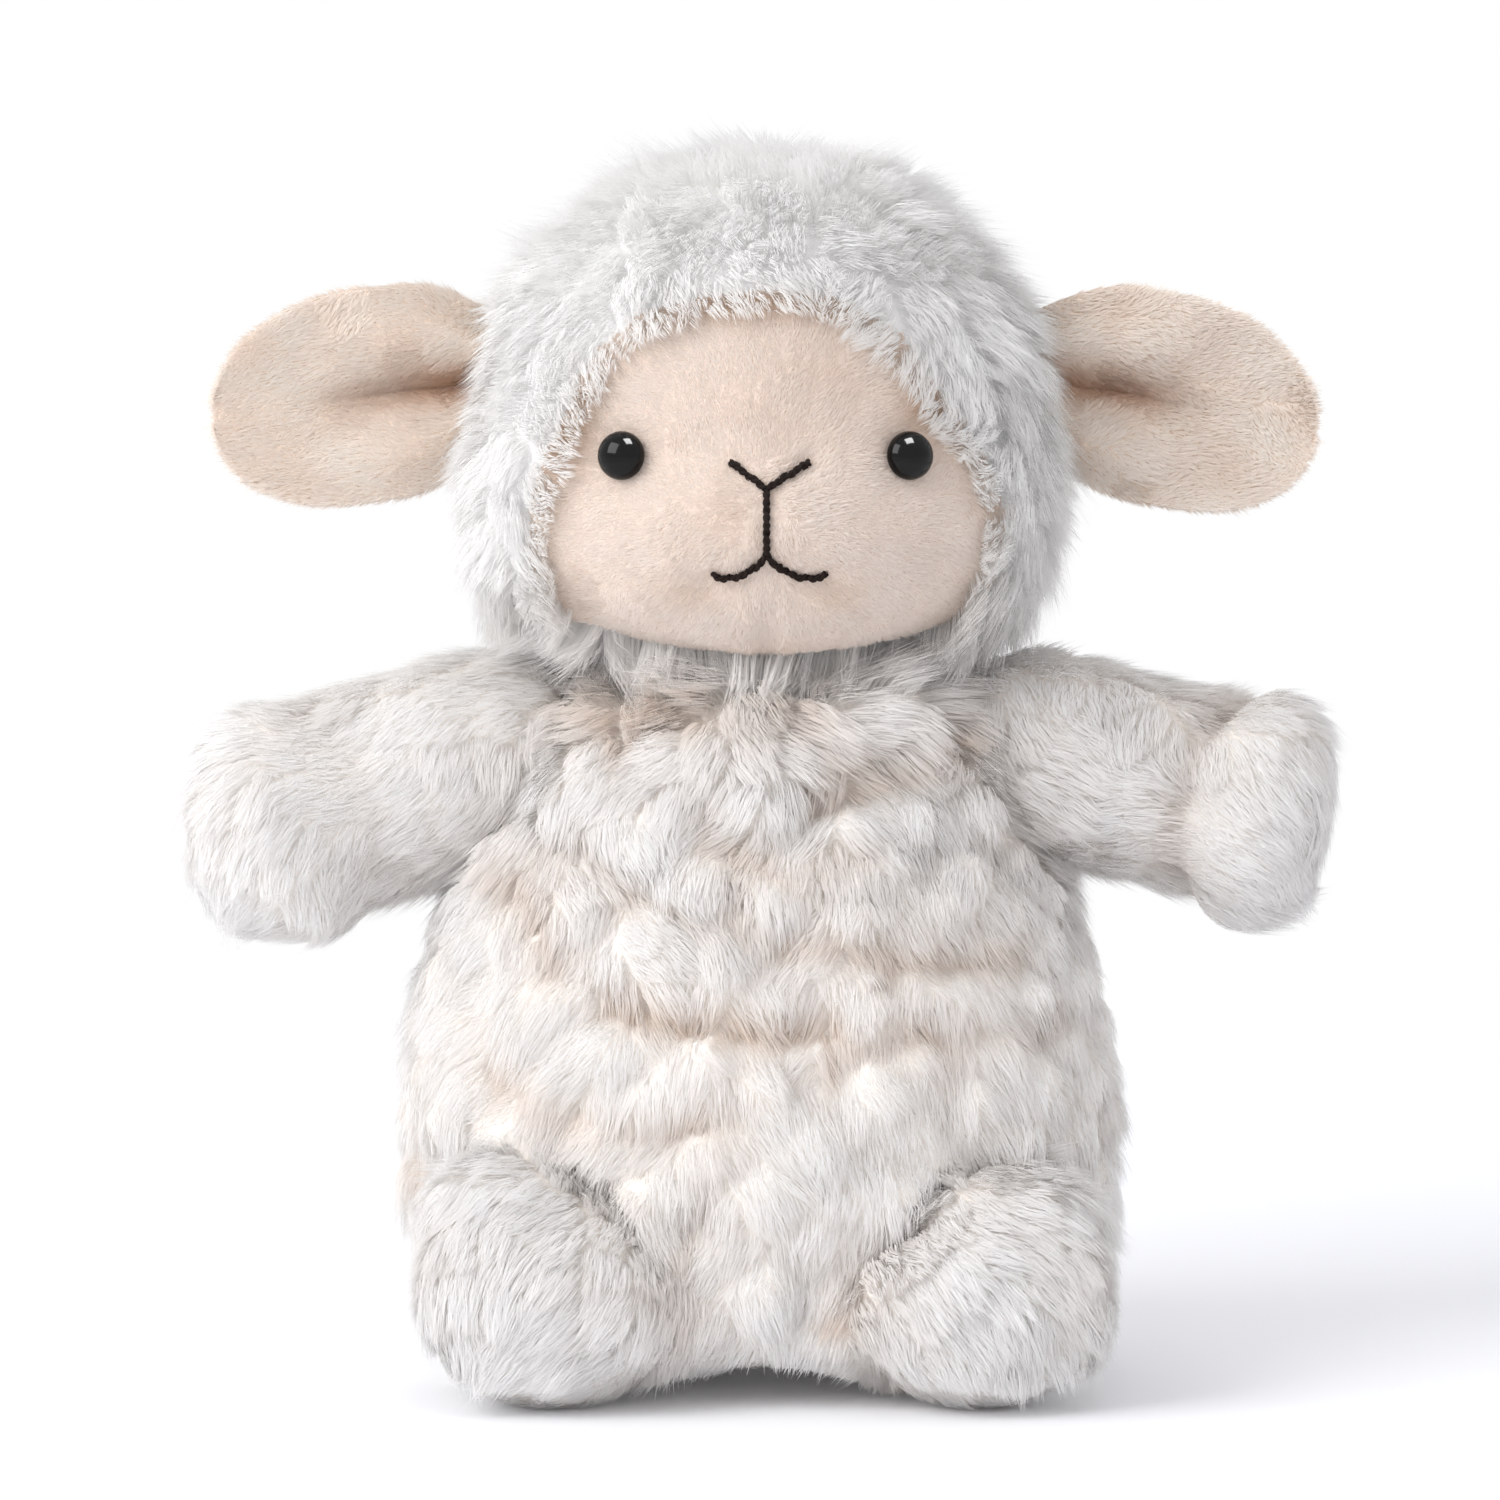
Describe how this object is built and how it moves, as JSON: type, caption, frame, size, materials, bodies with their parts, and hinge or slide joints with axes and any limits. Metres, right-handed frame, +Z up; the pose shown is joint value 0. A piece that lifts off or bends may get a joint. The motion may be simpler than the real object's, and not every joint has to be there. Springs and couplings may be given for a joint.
{
  "type": "plush sheep",
  "caption": "Standing stuffed sheep with a round hooded head, side ears, stubby arms and short feet, sewn of pile cloth round soft stuffing.",
  "frame": {"origin": "centre of the flat underside of the base panel, on the surface that the toy stands on", "axes": "+Z up through the head, -Y is where the face looks, +X is the toy's own left side"},
  "size_m": [0.2087, 0.1301, 0.23],
  "materials": {
    "body_pile_cloth": "long soft curly pile, off-white with beige roots",
    "hood_pile_cloth": "medium fluffy pile, cool white",
    "face_pile_cloth": "short velvety pile, cream beige",
    "stuffing": "loose polyester fibre",
    "pouch_cloth": "plain woven cotton",
    "pellets": "smooth small pellets",
    "white_thread": "twisted sewing thread",
    "dark_thread": "twisted embroidery thread",
    "eye_plastic": "polished black",
    "washer_plastic": "moulded, off-white"
  },
  "bodies": {
    "torso": {"torso_front_panel": "body_pile_cloth", "torso_back_left_panel": "body_pile_cloth", "torso_back_right_panel": "body_pile_cloth", "torso_base_panel": "body_pile_cloth", "torso_stuffing": "stuffing", "pellet_pouch": "pouch_cloth", "pellet_filling": "pellets", "closing_thread": "white_thread"},
    "neck": {"neck_stuffing": "stuffing", "neck_seam_thread": "white_thread"},
    "head": {"hood_left_panel": "hood_pile_cloth", "hood_right_panel": "hood_pile_cloth", "face_panel": "face_pile_cloth", "head_stuffing": "stuffing", "eye_left": "eye_plastic", "eye_right": "eye_plastic", "eye_washer_left": "washer_plastic", "eye_washer_right": "washer_plastic", "lip_stitch": "dark_thread", "nose_stitch_left": "dark_thread", "nose_stitch_right": "dark_thread", "mouth_stitch_left": "dark_thread", "mouth_stitch_right": "dark_thread"},
    "ear_left": {"ear_left_front_panel": "face_pile_cloth", "ear_left_back_panel": "face_pile_cloth"},
    "ear_right": {"ear_right_front_panel": "face_pile_cloth", "ear_right_back_panel": "face_pile_cloth"},
    "arm_left": {"arm_left_front_panel": "body_pile_cloth", "arm_left_back_panel": "body_pile_cloth", "arm_left_stuffing": "stuffing"},
    "arm_right": {"arm_right_front_panel": "body_pile_cloth", "arm_right_back_panel": "body_pile_cloth", "arm_right_stuffing": "stuffing"},
    "leg_left": {"leg_left_upper_panel": "body_pile_cloth", "leg_left_sole": "body_pile_cloth", "leg_left_stuffing": "stuffing"},
    "leg_right": {"leg_right_upper_panel": "body_pile_cloth", "leg_right_sole": "body_pile_cloth", "leg_right_stuffing": "stuffing"},
    "tail": {"tail_cover": "body_pile_cloth", "tail_stuffing": "stuffing"}
  },
  "joints": [
    {"name": "head_turn", "type": "hinge", "parent": "torso", "child": "neck", "pos_m": [0, 0, 0.124], "axis": [0, 0, 1], "range_deg": [-25, 25], "stiffness_Nm_per_rad": 0.25},
    {"name": "head_nod", "type": "hinge", "parent": "neck", "child": "head", "pos_m": [0, 0, 0.124], "axis": [1, 0, 0], "range_deg": [-10, 12], "stiffness_Nm_per_rad": 0.6},
    {"name": "ear_left_flap", "type": "hinge", "parent": "head", "child": "ear_left", "pos_m": [0.05305, 0.002, 0.188], "axis": [0, 0, -1], "range_deg": [-30, 30], "stiffness_Nm_per_rad": 0.02},
    {"name": "ear_right_flap", "type": "hinge", "parent": "head", "child": "ear_right", "pos_m": [-0.05305, 0.002, 0.188], "axis": [0, 0, 1], "range_deg": [-30, 30], "stiffness_Nm_per_rad": 0.02},
    {"name": "arm_left_raise", "type": "hinge", "parent": "torso", "child": "arm_left", "pos_m": [0.049, 0, 0.1185], "axis": [0, -1, 0], "range_deg": [-6, 35], "stiffness_Nm_per_rad": 0.15},
    {"name": "arm_right_raise", "type": "hinge", "parent": "torso", "child": "arm_right", "pos_m": [-0.049, 0, 0.1185], "axis": [0, 1, 0], "range_deg": [-6, 35], "stiffness_Nm_per_rad": 0.15},
    {"name": "leg_left_lift", "type": "hinge", "parent": "torso", "child": "leg_left", "pos_m": [0.037, -0.027, 0.0189], "axis": [-1, 0, 0], "range_deg": [0, 18], "stiffness_Nm_per_rad": 0.15},
    {"name": "leg_right_lift", "type": "hinge", "parent": "torso", "child": "leg_right", "pos_m": [-0.037, -0.027, 0.0189], "axis": [-1, 0, 0], "range_deg": [0, 18], "stiffness_Nm_per_rad": 0.15},
    {"name": "tail_wag", "type": "hinge", "parent": "torso", "child": "tail", "pos_m": [0, 0.05119, 0.037], "axis": [0, 0, 1], "range_deg": [-20, 20], "stiffness_Nm_per_rad": 0.02}
  ]
}
